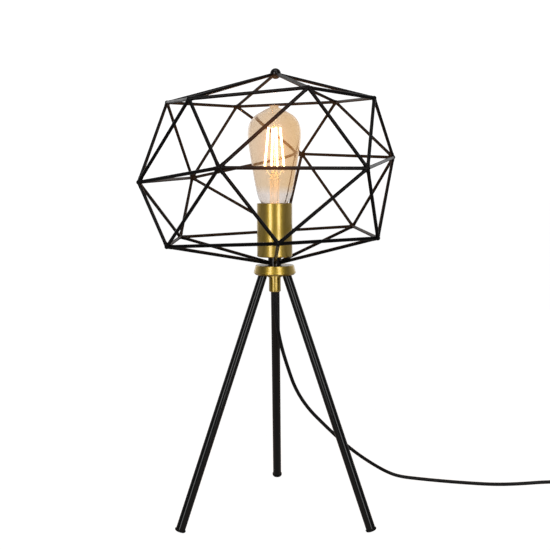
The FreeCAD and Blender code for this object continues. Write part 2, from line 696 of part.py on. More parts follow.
def centre_contact():
    """Springy tongue that rises from the holder's floor to just under the bulb's tip."""
    floor = HOLDER_FLOOR_TOP
    outline = [
        (CONTACT_HEEL, floor),
        (CONTACT_BEND, floor),
        (-CONTACT_TOE, CONTACT_TOP - CONTACT_SHEET),
        (-CONTACT_TOE, CONTACT_TOP),
        (CONTACT_BEND, floor + CONTACT_SHEET),
        (CONTACT_HEEL, floor + CONTACT_SHEET),
    ]
    corners = [Vector(x, -CONTACT_WIDTH / 2, height) for x, height in outline]
    return Part.Face(Part.makePolygon(corners + corners[:1])).extrude(REAR * CONTACT_WIDTH)


def terminal_screw(place):
    head_bottom = HOLDER_FLOOR_BOTTOM - TERMINAL_HEAD_HEIGHT
    head = cylinder(TERMINAL_HEAD_RADIUS, head_bottom, HOLDER_FLOOR_BOTTOM, place.x)
    return head.fuse(cylinder(TERMINAL_RADIUS, HOLDER_FLOOR_BOTTOM, HOLDER_FLOOR_TOP, place.x))


def inner_conductor(place):
    """Insulated core from the cord grip, up the nipple and out to its terminal."""
    side = math.copysign(CONDUCTOR_SPACING / 2, place.x)
    end = HOLDER_FLOOR_BOTTOM - TERMINAL_HEAD_HEIGHT
    points = [
        Vector(side, 0, GRIP_TOP),
        Vector(side, 0, NIPPLE_TOP + CONDUCTOR_RADIUS),
        Vector(place.x, 0, end - CONDUCTOR_BEND_RISE),
        Vector(place.x, 0, end),
    ]
    return routed_tube("inner conductor", points, CONDUCTOR_RADIUS)


def make_lampholder():
    save("holder_base", holder_base())
    save("holder_body", holder_body())
    save("holder_screw_shell", screw_shell())
    save("holder_centre_contact", centre_contact())
    save("holder_terminal_screws", *[terminal_screw(place) for place in terminal_places()])
    save("inner_conductors", *[inner_conductor(place) for place in terminal_places()])


# Inline switch

def cord_channel(length):
    """Way for the cord along the switch, on the plane where its halves meet."""
    start = Vector(-length / 2, 0, SWITCH_BASE_HEIGHT)
    return Part.makeCylinder(CORD_HOLE_RADIUS, length, start, RIGHT)


def screw_places():
    """The two screws stand at opposite corners, clear of the cord."""
    return [(side * SWITCH_SCREW_ALONG, side * SWITCH_SCREW_ACROSS) for side in (-1, 1)]


def switch_half(bottom, top, outer_edge):
    """Half of the housing: a slab with a hollow middle, a cord channel and screw holes."""
    body = box(SWITCH_LENGTH, SWITCH_WIDTH, bottom, top)
    body = body.makeFillet(SWITCH_CORNER_ROUND, upright_edges(body))
    body = body.makeFillet(SWITCH_EDGE_ROUND, edges_at(body, outer_edge))
    hollow_bottom = bottom + SWITCH_WALL if outer_edge == bottom else bottom
    hollow_top = top - SWITCH_WALL if outer_edge == top else top
    hollow_width = SWITCH_WIDTH - 2 * SWITCH_WALL
    body = body.cut(box(SWITCH_CAVITY_LENGTH, hollow_width, hollow_bottom, hollow_top))
    body = body.cut(cord_channel(SWITCH_LENGTH))
    for x, y in screw_places():
        hole_radius = SWITCH_SCREW_RADIUS + SEAT_CLEARANCE
        body = body.cut(cylinder(hole_radius, 0, SWITCH_SCREW_HEAD + SWITCH_SCREW_LENGTH, x, y))
        head_radius = SWITCH_SCREW_HEAD_RADIUS + SEAT_CLEARANCE
        body = body.cut(cylinder(head_radius, 0, SWITCH_SCREW_HEAD, x, y))
    return body


def cord_clamp(side):
    """Block inside an end of the switch that grips the cord."""
    middle = side * (CORD_IN_SWITCH + CLAMP_LENGTH / 2)
    top = SWITCH_BASE_HEIGHT + CORD_HOLE_RADIUS + CLAMP_ABOVE_CORD
    block = box(CLAMP_LENGTH, CLAMP_WIDTH, SWITCH_WALL, top, middle)
    return block.cut(cord_channel(SWITCH_LENGTH))


def rocker_pin(radius, half_length):
    start = Vector(0, -half_length, PIVOT_HEIGHT)
    return Part.makeCylinder(radius, 2 * half_length, start, REAR)


def switch_cover():
    """Upper half with the rocker's slot and two lugs that carry its pins."""
    cover = switch_half(SWITCH_BASE_HEIGHT, SWITCH_TOP, SWITCH_TOP)
    inner_half = ROCKER_WIDTH / 2 + RUNNING_CLEARANCE
    lug_length = 2 * (ROCKER_PIN_RADIUS + SWITCH_WALL)
    lug_bottom = PIVOT_HEIGHT - ROCKER_PIN_RADIUS - SWITCH_WALL
    for side in (-1, 1):
        middle = side * (inner_half + ROCKER_LUG / 2)
        cover = cover.fuse(box(lug_length, ROCKER_LUG, lug_bottom, SWITCH_TOP - SWITCH_WALL, 0, middle))
    slot_length = 2 * (ROCKER_RADIUS + RUNNING_CLEARANCE)
    cover = cover.cut(box(slot_length, 2 * inner_half, SWITCH_BASE_HEIGHT, SWITCH_TOP))
    pin_hole = rocker_pin(ROCKER_PIN_RADIUS + PIVOT_CLEARANCE, inner_half + ROCKER_LUG)
    return cover.cut(pin_hole)


def rocker():
    """Drum about the pivot with a dished top, tilted to its pressed side."""
    start = Vector(0, -ROCKER_WIDTH / 2, PIVOT_HEIGHT)
    drum = Part.makeCylinder(ROCKER_RADIUS, ROCKER_WIDTH, start, REAR)
    keep = box(2 * ROCKER_RADIUS, ROCKER_WIDTH, PIVOT_HEIGHT - ROCKER_BELOW, PIVOT_HEIGHT + ROCKER_ABOVE)
    dish_height = PIVOT_HEIGHT + ROCKER_ABOVE - ROCKER_DISH_DEPTH + ROCKER_DISH_RADIUS
    dish = Part.makeCylinder(ROCKER_DISH_RADIUS, ROCKER_WIDTH, Vector(0, start.y, dish_height), REAR)
    pins = rocker_pin(ROCKER_PIN_RADIUS, ROCKER_WIDTH / 2 + ROCKER_PIN_LENGTH)
    body = drum.common(keep).cut(dish).fuse(pins)
    return body.rotated(Vector(0, 0, PIVOT_HEIGHT), REAR, -ROCKER_TILT)


def switch_screw(x, y):
    head = cylinder(SWITCH_SCREW_HEAD_RADIUS, 0, SWITCH_SCREW_HEAD, x, y)
    shank_top = SWITCH_SCREW_HEAD + SWITCH_SCREW_LENGTH
    return head.fuse(cylinder(SWITCH_SCREW_RADIUS, SWITCH_SCREW_HEAD, shank_top, x, y))


def make_switch():
    place = Vector(SWITCH_PLACE[0], SWITCH_PLACE[1], 0)
    length, width, height = TERMINAL_BLOCK
    block_top = SWITCH_WALL + height
    offsets = (-TERMINAL_BLOCK_OFFSET, TERMINAL_BLOCK_OFFSET)
    blocks = [box(length, width, SWITCH_WALL, block_top, offset) for offset in offsets]
    screws = [switch_screw(x, y) for x, y in screw_places()]
    clamps = [cord_clamp(side) for side in (-1, 1)]
    save("switch_base", switch_half(0, SWITCH_BASE_HEIGHT, 0).translated(place))
    save("switch_cover", switch_cover().translated(place))
    save("switch_rocker", rocker().translated(place))
    save("switch_terminals", *[block.translated(place) for block in blocks])
    save("switch_screws", *[screw.translated(place) for screw in screws])
    save("switch_cord_clamps", *[clamp.translated(place) for clamp in clamps])


# Cord, coil, tie and plug

def coil_path():
    """Half circles that spiral in, climb a layer in the half turn where they reverse, and spiral out.
    The last stretch runs straight to the plug."""
    steps = [COIL_OUTER_RADIUS - COIL_PITCH / 2 * count for count in range(COIL_HALF_TURNS + 1)]
    radii = steps + steps[-2::-1]
    start = COIL_CENTRE - REAR * COIL_OUTER_RADIUS + UP * COIL_LOW
    edges = [Part.LineSegment(start - RIGHT * STRAIGHT_END, start).toShape()]
    way = RIGHT
    for count, radius in enumerate(radii):
        across = REAR * (2 * radius if count % 2 == 0 else -2 * radius)
        if count == COIL_HALF_TURNS:
            across = across + UP * COIL_LAYER_RISE
        end = start + across
        middle = start + across * 0.5 + way * (across.Length / 2)
        edges.append(Part.Arc(start, middle, end).toShape())
        start = end
        way = -way
    edges.append(Part.LineSegment(start, PLUG_ENTRY).toShape())
    return Part.Wire(edges)


def least_self_gap(path, radius):
    """Least clear distance between stretches of a tube that are some diameters apart along it."""
    spacing = radius / 2
    apart = 16
    points = path.discretize(Distance=spacing)
    nearest = min(
        (first - second).Length
        for count, first in enumerate(points)
        for second in points[count + apart:]
    )
    return nearest - 2 * radius


def cord_coil(path):
    start = path.Vertexes[0].Point
    coil = swept_tube(path, start, RIGHT, CORD_RADIUS)
    share = coil.Volume / (math.pi * CORD_RADIUS ** 2 * path.Length)
    gap = least_self_gap(path, CORD_RADIUS)
    print(f"coil: length {path.Length:.0f}, volume share {share:.4f}, least gap to itself {gap:.2f}")
    return coil


def cord_tie():
    """Strap round the bundle of turns, on the side away from the lamp."""
    slack = CORD_RADIUS + RUNNING_CLEARANCE
    inside_turn = COIL_INNER_RADIUS - CORD_RADIUS
    inside_strap = math.sqrt(inside_turn ** 2 - (TIE_WIDTH / 2) ** 2)
    inner_edge = COIL_CENTRE.x + inside_strap - RUNNING_CLEARANCE
    outer_edge = COIL_CENTRE.x + COIL_OUTER_RADIUS + slack
    middle = (inner_edge + outer_edge) / 2
    length = outer_edge - inner_edge
    bottom = COIL_LOW - slack
    top = COIL_HIGH + slack
    thick = TIE_THICKNESS
    strap = box(length + 2 * thick, TIE_WIDTH, bottom - thick, top + thick, middle, COIL_CENTRE.y)
    return strap.cut(box(length, TIE_WIDTH, bottom, top, middle, COIL_CENTRE.y))


def link_route(end):
    """Route from the switch down to the coil, level at both ends."""
    run = RIGHT * ((end - SWITCH_EXIT).dot(RIGHT) * LINK_END_SHARE)
    return [SWITCH_EXIT, SWITCH_EXIT + run, end - run, end]


def plug_body():
    half = PLUG_WIDTH / 2
    rear_half = PLUG_REAR_WIDTH / 2
    outline = [(0, -rear_half), (0, rear_half), (-PLUG_SHOULDER, half), (-PLUG_LENGTH, half)]
    outline += [(-PLUG_LENGTH, -half), (-PLUG_SHOULDER, -half)]
    place = Vector(PLUG_ENTRY.x, PLUG_ENTRY.y, 0)
    corners = [place + Vector(x, y, 0) for x, y in outline]
    body = Part.Face(Part.makePolygon(corners + corners[:1])).extrude(UP * PLUG_HEIGHT)
    body = body.makeFillet(PLUG_ROUND, upright_edges(body))
    body = body.makeFillet(PLUG_ROUND, edges_at(body, PLUG_HEIGHT) + edges_at(body, 0))
    for place in pin_places():
        body = body.cut(Part.makeCylinder(PIN_ROOT_RADIUS + SEAT_CLEARANCE, PIN_ROOT, place, RIGHT))
    return body


def pin_places():
    """Where the pins leave the plug's front face."""
    middle = Vector(PLUG_ENTRY.x - PLUG_LENGTH, PLUG_ENTRY.y, PLUG_HEIGHT / 2)
    return [middle + REAR * offset for offset in (-PIN_SPACING / 2, PIN_SPACING / 2)]


def plug_pin(place):
    pin = Part.makeCylinder(PIN_RADIUS, PIN_LENGTH, place, -RIGHT)
    tip = min(rims(pin), key=lambda edge: edge.CenterOfMass.x)
    pin = pin.makeFillet(PIN_TIP_ROUND, [tip])
    return pin.fuse(Part.makeCylinder(PIN_ROOT_RADIUS, PIN_ROOT, place, RIGHT))


def plug_relief():
    """Tapered sleeve round the cord, standing on the plug's rear face."""
    taper = Part.makeCone(RELIEF_ROOT_RADIUS, RELIEF_TIP_RADIUS, RELIEF_LENGTH, PLUG_ENTRY, RIGHT)
    return taper.cut(Part.makeCylinder(CORD_HOLE_RADIUS, RELIEF_LENGTH, PLUG_ENTRY, RIGHT))


def make_cord():
    path = coil_path()
    coil_start = path.Vertexes[0].Point
    lead = [Vector(0, 0, GRIP_SEAT)] + [Vector(*point) for point in LEAD_ROUTE] + [SWITCH_ENTRY]
    save("cord_lead", routed_tube("lead", lead, CORD_RADIUS))
    save("cord_link", routed_tube("link", link_route(coil_start), CORD_RADIUS))
    save("cord_coil", cord_coil(path))
    save("cord_tie", cord_tie())
    save("plug_body", plug_body())
    save("plug_pins", *[plug_pin(place) for place in pin_places()])
    save("plug_relief", plug_relief())


os.makedirs("parts", exist_ok=True)
make_legs()
make_stack()
make_cage()
make_bulb()
make_lampholder()
make_switch()
make_cord()
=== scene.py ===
import json
import math

import bpy
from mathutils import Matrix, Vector


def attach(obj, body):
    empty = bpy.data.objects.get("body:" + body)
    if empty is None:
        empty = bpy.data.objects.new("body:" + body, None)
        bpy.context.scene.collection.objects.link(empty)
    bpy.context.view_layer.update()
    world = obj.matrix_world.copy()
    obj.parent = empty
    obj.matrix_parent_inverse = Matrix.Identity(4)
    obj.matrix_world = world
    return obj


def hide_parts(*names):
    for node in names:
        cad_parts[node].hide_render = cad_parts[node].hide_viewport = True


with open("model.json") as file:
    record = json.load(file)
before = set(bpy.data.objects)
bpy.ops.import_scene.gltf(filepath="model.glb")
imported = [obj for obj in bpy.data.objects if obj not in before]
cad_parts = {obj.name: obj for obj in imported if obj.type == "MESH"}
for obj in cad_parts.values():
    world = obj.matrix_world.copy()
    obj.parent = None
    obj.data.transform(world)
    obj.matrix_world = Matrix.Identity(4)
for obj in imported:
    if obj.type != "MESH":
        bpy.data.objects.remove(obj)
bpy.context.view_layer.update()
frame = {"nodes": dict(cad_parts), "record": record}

# Table lamp: its cords, materials, light and camera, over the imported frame.
# Metres, in the frame of the part: +X right, +Y to the rear, +Z up from the floor.

BODY = "lamp"

# Camera, in front of the lamp and looking level: roll in radians, image in pixels, sensor in millimetres
CAMERA_PLACE = (0.0006, -1.029, 0.393)
CAMERA_ROLL = 0.0035
IMAGE_WIDTH = 550.0
FOCAL_LENGTH_IN_PIXELS = 850.0
HORIZON_ROW = 186.4
SENSOR_WIDTH = 36.0

# Mains cord, from the outlet to the switch, and from the switch to the plug by way of a coil
CORD_DIAMETER = 0.0045
LEAD_ROUTE = [
    (0.0, 0.0, 0.271), (0.0, 0.0, 0.247), (0.003, 0.003, 0.221), (0.008, 0.009, 0.196),
    (0.0155, 0.018, 0.170), (0.025, 0.031, 0.1405), (0.041, 0.048, 0.112), (0.0625, 0.067, 0.086),
    (0.089, 0.084, 0.057), (0.111, 0.099, 0.036), (0.1345, 0.109, 0.0182), (0.1525, 0.115, 0.007),
    (0.1675, 0.114, 0.0023), (0.190, 0.1055, 0.0023), (0.221, 0.096, 0.0023), (0.254, 0.088, 0.0023),
    (0.288, 0.082, 0.0023), (0.321, 0.0783, 0.0046), (0.353, 0.077, 0.0075), (0.385, 0.077, 0.0075),
]
LINK_ROUTE = [
    (0.407, 0.077, 0.0075), (0.4309, 0.077, 0.0075), (0.4556, 0.077, 0.00335), (0.4795, 0.077, 0.00335),
]
COIL_START = (0.484, 0.077)
COIL_OUTER_RADIUS = 0.0346
COIL_STEP = 0.00255
COIL_STEPS_INWARD = 6
COIL_LOW = 0.00335
COIL_RISE = 0.005
POINTS_PER_HALF_TURN = 8
PLUG_ENTRY_X = 0.445
RELIEF_END_X = 0.467

# Smoothness of a cord's curve, and the weight of each of its control points
SPLINE_ORDER = 3
STEPS_ALONG_CORD = 10
STEPS_ROUND_CORD = 5
POINT_WEIGHT = 1.0

# Textures: the values that most of a noise lies between, and the axis that it is drawn out along
NOISE_LOW = 0.3
NOISE_HIGH = 0.7
NOT_DRAWN_OUT = (1.0, 1.0, 1.0)
DRAWN_OUT_ALONG_X = (0.2, 1.0, 1.0)
DRAWN_OUT_ALONG_Z = (1.0, 1.0, 0.2)
OPAQUE = 1.0

# Black paints: the cage's coat is duller than the legs'
BLACK_PAINTS = {
    "black_paint": dict(gloss=0.52, rough_low=0.13, rough_high=0.17),
    "cage_paint": dict(gloss=0.18, rough_low=0.26, rough_high=0.34),
}
PAINT_DARK = (0.0016, 0.0015, 0.0016)
PAINT_LIGHT = (0.0028, 0.0026, 0.0027)

# Bare metals
BARE_METALS = {
    "steel": dict(dark=(0.48, 0.48, 0.50), light=(0.60, 0.60, 0.62), rough_low=0.25, rough_high=0.40),
    "cap_metal": dict(dark=(0.62, 0.60, 0.56), light=(0.74, 0.72, 0.68), rough_low=0.18, rough_high=0.32),
    "contact_brass": dict(dark=(0.62, 0.45, 0.18), light=(0.74, 0.56, 0.26), rough_low=0.22, rough_high=0.38),
    "pin_metal": dict(
        dark=(0.62, 0.60, 0.56), light=(0.72, 0.70, 0.66), rough_low=0.15, rough_high=0.28,
        stretch=DRAWN_OUT_ALONG_X,
    ),
}

# Black plastics and rubbers
MOULDINGS = {
    "foot_rubber": dict(rough_low=0.55, rough_high=0.70, grain=1400.0, depth=0.00005),
    "black_insulator": dict(rough_low=0.10, rough_high=0.18, grain=500.0, depth=0.00001),
    "holder_resin": dict(rough_low=0.35, rough_high=0.50, grain=900.0, depth=0.00003),
    "grip_rubber": dict(rough_low=0.60, rough_high=0.75, grain=1500.0, depth=0.00005),
    "switch_plastic": dict(rough_low=0.42, rough_high=0.55, grain=2200.0, depth=0.00005),
    "rocker_plastic": dict(rough_low=0.16, rough_high=0.24, grain=600.0, depth=0.00001),
    "cord_jacket": dict(rough_low=0.36, rough_high=0.48, grain=1100.0, depth=0.00004),
    "tie_plastic": dict(rough_low=0.45, rough_high=0.60, grain=1300.0, depth=0.00004),
    "plug_plastic": dict(rough_low=0.42, rough_high=0.55, grain=2000.0, depth=0.00005),
}
MOULDING_DARK = (0.003, 0.003, 0.0032)
MOULDING_LIGHT = (0.006, 0.006, 0.0064)

# Bulb glass: how far to each side its painted side light reaches, the tint and glow going more golden and
# brighter to the right, and where the amber film starts and is full
PAINTED_SIDE_LIGHT_REACH = 0.03
FILM_START = 0.3834
FILM_FULL = 0.3946

# Floor, and how strongly it shines in reflections
FLOOR_HALF_SIZE = 30.0
FLOOR_IN_REFLECTIONS = 0.15

# Soft lights, aimed at one point: bearing in degrees from the front, width and height, power in watts
AIM = (0.0, 0.0, 0.30)
STANDING = dict(distance=1.7, height=0.72, size=(0.50, 1.4))
OVERHEAD = dict(distance=0.6, height=1.8, size=(1.2, 1.2))
SOFTBOXES = {
    "softbox_left": dict(bearing=-28.0, power=6.6, **STANDING),
    "softbox_right": dict(bearing=27.0, power=6.6, **STANDING),
    "softbox_back_left": dict(bearing=-150.0, power=1.2, **STANDING),
    "softbox_back_right": dict(bearing=152.0, power=1.2, **STANDING),
    "softbox_top": dict(bearing=0.0, power=4.0, **OVERHEAD),
}

# Light of the bulb's filaments
BULB_LIGHT_PLACE = (0.0, 0.0, 0.440)
BULB_LIGHT_RADIUS = 0.028
BULB_LIGHT_POWER = 9.5
BULB_LIGHT_COLOUR = (1.0, 0.42, 0.10)

# Surroundings: greys to reflect, from straight in front, 0, to straight behind, 1, and the white to the eye
SURROUND_GREYS = [(0.0, 0.10), (0.25, 0.07), (0.50, 0.11), (0.70, 0.30), (0.90, 0.50)]
WHITE = (1.0, 1.0, 1.0, OPAQUE)
WHITE_STRENGTH = 1.1

# Halo round the filaments
HALO_THRESHOLD = 3.0
HALO_STRENGTH = 0.33
HALO_SIZE = 0.12
HALO_TINT = (1.0, 0.60, 0.30, OPAQUE)


# Camera

def make_camera():
    data = bpy.data.cameras.new("camera")
    data.sensor_fit = "HORIZONTAL"
    data.sensor_width = SENSOR_WIDTH
    data.lens = FOCAL_LENGTH_IN_PIXELS / IMAGE_WIDTH * SENSOR_WIDTH
    data.shift_y = (HORIZON_ROW - IMAGE_WIDTH / 2) / IMAGE_WIDTH
    camera = bpy.data.objects.new("camera", data)
    camera.location = CAMERA_PLACE
    camera.rotation_euler = (math.pi / 2, CAMERA_ROLL, 0.0)
    bpy.context.collection.objects.link(camera)
    bpy.context.scene.camera = camera


# Cords

def cord_curve(name, route):
    """Smooth round cord with the route's points as its control points, whose radius makes it thick."""
    data = bpy.data.curves.new(name, "CURVE")
    data.dimensions = "3D"
    data.bevel_depth = 1.0
    data.bevel_resolution = STEPS_ROUND_CORD
    data.resolution_u = STEPS_ALONG_CORD
    data.use_fill_caps = True
    spline = data.splines.new("NURBS")
    spline.points.add(len(route) - 1)
    for point, place in zip(spline.points, route):
        point.co = (*place, POINT_WEIGHT)
        point.radius = CORD_DIAMETER / 2
    spline.order_u = SPLINE_ORDER
    spline.use_endpoint_u = True
    cord = bpy.data.objects.new(name, data)
    bpy.context.collection.objects.link(cord)
    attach(cord, BODY)
    return cord


def coil_route():
    """Half turns that spiral in, climb a layer in the half turn where they reverse, and spiral out."""
    inward = [COIL_OUTER_RADIUS - COIL_STEP * count for count in range(COIL_STEPS_INWARD + 1)]
    radii = inward + inward[-2::-1]
    spread = math.pi / POINTS_PER_HALF_TURN
    x, y = COIL_START
    route = []
    for count, radius in enumerate(radii):
        side = 1 if count % 2 == 0 else -1
        reach = radius / math.cos(spread / 2)
        for step in range(POINTS_PER_HALF_TURN):
            angle = (step + 0.5) * spread
            bulge = reach * math.sin(angle)
            across = radius - reach * math.cos(angle)
            share = (step + 0.5) / POINTS_PER_HALF_TURN
            climbed = min(max(count - COIL_STEPS_INWARD + share, 0.0), 1.0)
            route.append((x + side * bulge, y + side * across, COIL_LOW + COIL_RISE * climbed))
        y += side * 2 * radius
    return route


def rest_route():
    """The link from the switch, the coil, and the end that goes into the plug."""
    end_y = COIL_START[1] + 2 * COIL_OUTER_RADIUS
    end_z = COIL_LOW + COIL_RISE
    return LINK_ROUTE + coil_route() + [(RELIEF_END_X, end_y, end_z), (PLUG_ENTRY_X, end_y, end_z)]


def make_cords():
    lead = cord_curve("mains_cord", LEAD_ROUTE)
    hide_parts("cord_lead")
    rest = cord_curve("mains_cord_coil", rest_route())
    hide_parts("cord_link", "cord_coil")
    return [lead, rest]


# Materials

class Finish:
    """A procedural material on the principled shader, drawn in the lamp's own metres.

    Keywords set the shader's sockets, with _ for each space in a name.
    """

    def __init__(self, name, **constants):
        self.material = bpy.data.materials.new(name)
        self.material.use_nodes = True
        self.nodes = self.material.node_tree.nodes
        self.links = self.material.node_tree.links
        self.shader = self.nodes["Principled BSDF"]
        self.place = self.nodes.new("ShaderNodeTexCoord").outputs["Object"]
        for socket, value in constants.items():
            self.shader.inputs[socket.replace("_", " ")].default_value = value

    def noise(self, scale, detail=3.0, stretch=NOT_DRAWN_OUT):
        mapping = self.nodes.new("ShaderNodeMapping")
        mapping.inputs["Scale"].default_value = stretch
        texture = self.nodes.new("ShaderNodeTexNoise")
        texture.inputs["Scale"].default_value = scale
        texture.inputs["Detail"].default_value = detail
        self.links.new(self.place, mapping.inputs["Vector"])
        self.links.new(mapping.outputs["Vector"], texture.inputs["Vector"])
        return texture.outputs["Fac"]

    def along(self, axis, start, end):
        """Goes from 0 to 1 between two places on an axis."""
        parts = self.nodes.new("ShaderNodeSeparateXYZ")
        span = self.nodes.new("ShaderNodeMapRange")
        span.inputs["From Min"].default_value = start
        span.inputs["From Max"].default_value = end
        self.links.new(self.place, parts.inputs["Vector"])
        self.links.new(parts.outputs[axis], span.inputs["Value"])
        return span.outputs["Result"]

    def colours(self, source, first, second, start=NOISE_LOW, end=NOISE_HIGH):
        """Goes from one fixed colour to the other as the source goes from start to end."""
        ramp = self.nodes.new("ShaderNodeValToRGB")
        ramp.color_ramp.elements[0].position = start
        ramp.color_ramp.elements[0].color = (*first, OPAQUE)
        ramp.color_ramp.elements[1].position = end
        ramp.color_ramp.elements[1].color = (*second, OPAQUE)
        self.links.new(source, ramp.inputs["Fac"])
        return ramp.outputs["Color"]

    def blend(self, share, first, second):
        """Goes from one colour source to the other with a share from 0 to 1."""
        mix = self.nodes.new("ShaderNodeMixRGB")
        self.links.new(share, mix.inputs["Fac"])
        self.links.new(first, mix.inputs["Color1"])
        self.links.new(second, mix.inputs["Color2"])
        return mix.outputs["Color"]

    def levels(self, source, low, high):
        """Goes from the low to the high number with a noise."""
        span = self.nodes.new("ShaderNodeMapRange")
        span.inputs["From Min"].default_value = NOISE_LOW
        span.inputs["From Max"].default_value = NOISE_HIGH
        span.inputs["To Min"].default_value = low
        span.inputs["To Max"].default_value = high
        self.links.new(source, span.inputs["Value"])
        return span.outputs["Result"]

    def feed(self, socket, source):
        self.links.new(source, self.shader.inputs[socket])

    def relief(self, source, depth):
        bump = self.nodes.new("ShaderNodeBump")
        bump.inputs["Distance"].default_value = depth
        self.links.new(source, bump.inputs["Height"])
        self.feed("Normal", bump.outputs["Normal"])


def black_paint(name, gloss, rough_low, rough_high):
    """Powder coat with a fine orange peel."""
    finish = Finish(name, Specular_IOR_Level=gloss)
    patches = finish.noise(scale=60.0)
    peel = finish.noise(scale=1400.0, detail=2.0)
    finish.feed("Base Color", finish.colours(patches, PAINT_DARK, PAINT_LIGHT))
    finish.feed("Roughness", finish.levels(patches, rough_low, rough_high))
    finish.relief(peel, depth=0.000004)
    return finish.material


def brass():
    """Turned, lightly polished and lacquered, with fine rings from the lathe."""
    finish = Finish("brass", Metallic=1.0, Coat_Weight=1.0, Coat_IOR=1.8, Coat_Roughness=0.15)
    rings = finish.noise(scale=1.0, detail=4.0, stretch=(20.0, 20.0, 5200.0))
    patches = finish.noise(scale=45.0)
    finish.feed("Base Color", finish.colours(patches, first=(0.80, 0.53, 0.06), second=(0.86, 0.58, 0.08)))
    finish.feed("Roughness", finish.levels(rings, low=0.33, high=0.38))
    finish.relief(rings, depth=0.0000001)
    return finish.material


def bare_metal(name, dark, light, rough_low, rough_high, stretch=NOT_DRAWN_OUT):
    """Plated or drawn metal with cloudy patches and fine scratches."""
    finish = Finish(name, Metallic=1.0)
    clouds = finish.noise(scale=120.0)
    scratches = finish.noise(scale=900.0, stretch=stretch)
    finish.feed("Base Color", finish.colours(clouds, dark, light))
    finish.feed("Roughness", finish.levels(scratches, rough_low, rough_high))
    finish.relief(scratches, depth=0.00001)
    return finish.material


def moulded(name, rough_low, rough_high, grain, depth):
    """Moulded black plastic or rubber with a fine surface grain."""
    finish = Finish(name, Specular_IOR_Level=0.3)
    patches = finish.noise(scale=70.0)
    texture = finish.noise(scale=grain)
    finish.feed("Base Color", finish.colours(patches, MOULDING_DARK, MOULDING_LIGHT))
    finish.feed("Roughness", finish.levels(texture, rough_low, rough_high))
    finish.relief(texture, depth)
    return finish.material


def amber_glass():
    """Thin blown glass, clear at the neck, with an amber film above it, and a painted glow that stands in for
    the filaments' light in the glass.
    """
    finish = Finish("amber_glass", Transmission_Weight=1.0, IOR=1.45, Roughness=0.0, Emission_Strength=0.075)
    # Painted side light: the glass's tint and glow go more golden and brighter from left to right, as light
    # falls on it
    side = finish.along("X", -PAINTED_SIDE_LIGHT_REACH, PAINTED_SIDE_LIGHT_REACH)
    film_share = finish.along("Z", FILM_START, FILM_FULL)
    ripples = finish.noise(scale=55.0, detail=1.0)
    wide = dict(start=0.2, end=0.9)
    clear = finish.colours(side, first=(0.815, 0.775, 0.75), second=(0.81, 0.77, 0.74))
    film = finish.colours(side, first=(0.725, 0.67, 0.585), second=(0.68, 0.61, 0.48), **wide)
    # Painted glow: emission that stands in for the filaments lighting the neck and the film
    clear_painted_glow = finish.colours(side, first=(0.06, 0.04, 0.03), second=(0.08, 0.05, 0.03))
    film_painted_glow = finish.colours(side, first=(0.50, 0.23, 0.06), second=(1.0, 0.46, 0.12), **wide)
    finish.feed("Base Color", finish.blend(film_share, clear, film))
    finish.feed("Emission Color", finish.blend(film_share, clear_painted_glow, film_painted_glow))
    finish.relief(ripples, depth=0.00001)
    return finish.material


def clear_glass():
    """Clear glass mount, with a painted warm tint and glow that stand in for the filaments' light on it."""
    finish = Finish("clear_glass", Transmission_Weight=0.96, IOR=1.5, Emission_Strength=0.08)
    clouds = finish.noise(scale=90.0)
    haze = finish.noise(scale=300.0)
    # Painted light: the warm tint and the orange glow stand in for the filaments lighting the clear glass
    finish.feed("Base Color", finish.colours(clouds, first=(0.98, 0.88, 0.73), second=(1.0, 0.92, 0.80)))
    finish.feed("Emission Color", finish.colours(clouds, first=(1.0, 0.52, 0.18), second=(1.0, 0.60, 0.25)))
    finish.feed("Roughness", finish.levels(haze, low=0.05, high=0.15))
    return finish.material


def filament():
    """Lit phosphor sticks, a little uneven along their length."""
    finish = Finish("filament", Emission_Strength=17.0, Roughness=0.6)
    grain = finish.noise(scale=500.0)
    finish.feed("Base Color", finish.colours(grain, first=(0.9, 0.6, 0.2), second=(1.0, 0.75, 0.35)))
    finish.feed("Emission Color", finish.colours(grain, first=(1.0, 0.60, 0.38), second=(1.0, 0.70, 0.50)))
    return finish.material


def support_wire():
    """Drawn wire with painted glints: a glow that stands in for the filaments' light shining on it."""
    finish = Finish("support_wire", Metallic=1.0, Emission_Strength=1.6)
    clouds = finish.noise(scale=120.0)
    scratches = finish.noise(scale=900.0, stretch=DRAWN_OUT_ALONG_Z)
    finish.feed("Base Color", finish.colours(clouds, first=(0.50, 0.48, 0.45), second=(0.62, 0.60, 0.56)))
    # Painted glints: emission in the scratches' pattern that stands in for the filaments' light on the wire
    painted_glints = finish.colours(scratches, first=(1.0, 0.55, 0.20), second=(1.0, 0.70, 0.36))
    finish.feed("Emission Color", painted_glints)
    finish.feed("Roughness", finish.levels(scratches, low=0.2, high=0.3))
    return finish.material


def core_insulation():
    """Two cores, a blue one on the left and a brown one on the right."""
    finish = Finish("core_insulation")
    side = finish.along("X", start=-0.0001, end=0.0001)
    haze = finish.noise(scale=800.0)
    blue = (0.012, 0.05, 0.20)
    brown = (0.09, 0.035, 0.015)
    finish.feed("Base Color", finish.colours(side, blue, brown, start=0.45, end=0.55))
    finish.feed("Roughness", finish.levels(haze, low=0.4, high=0.55))
    return finish.material


def circuit_board():
    """Green board with paler copper lines under the mask."""
    finish = Finish("circuit_board", Roughness=0.4)
    lines = finish.noise(scale=700.0, detail=0.0, stretch=(1.0, 1.0, 0.15))
    board = (0.01, 0.09, 0.03)
    copper = (0.03, 0.20, 0.06)
    finish.feed("Base Color", finish.colours(lines, board, copper, start=0.48, end=0.52))
    finish.relief(lines, depth=0.00003)
    return finish.material


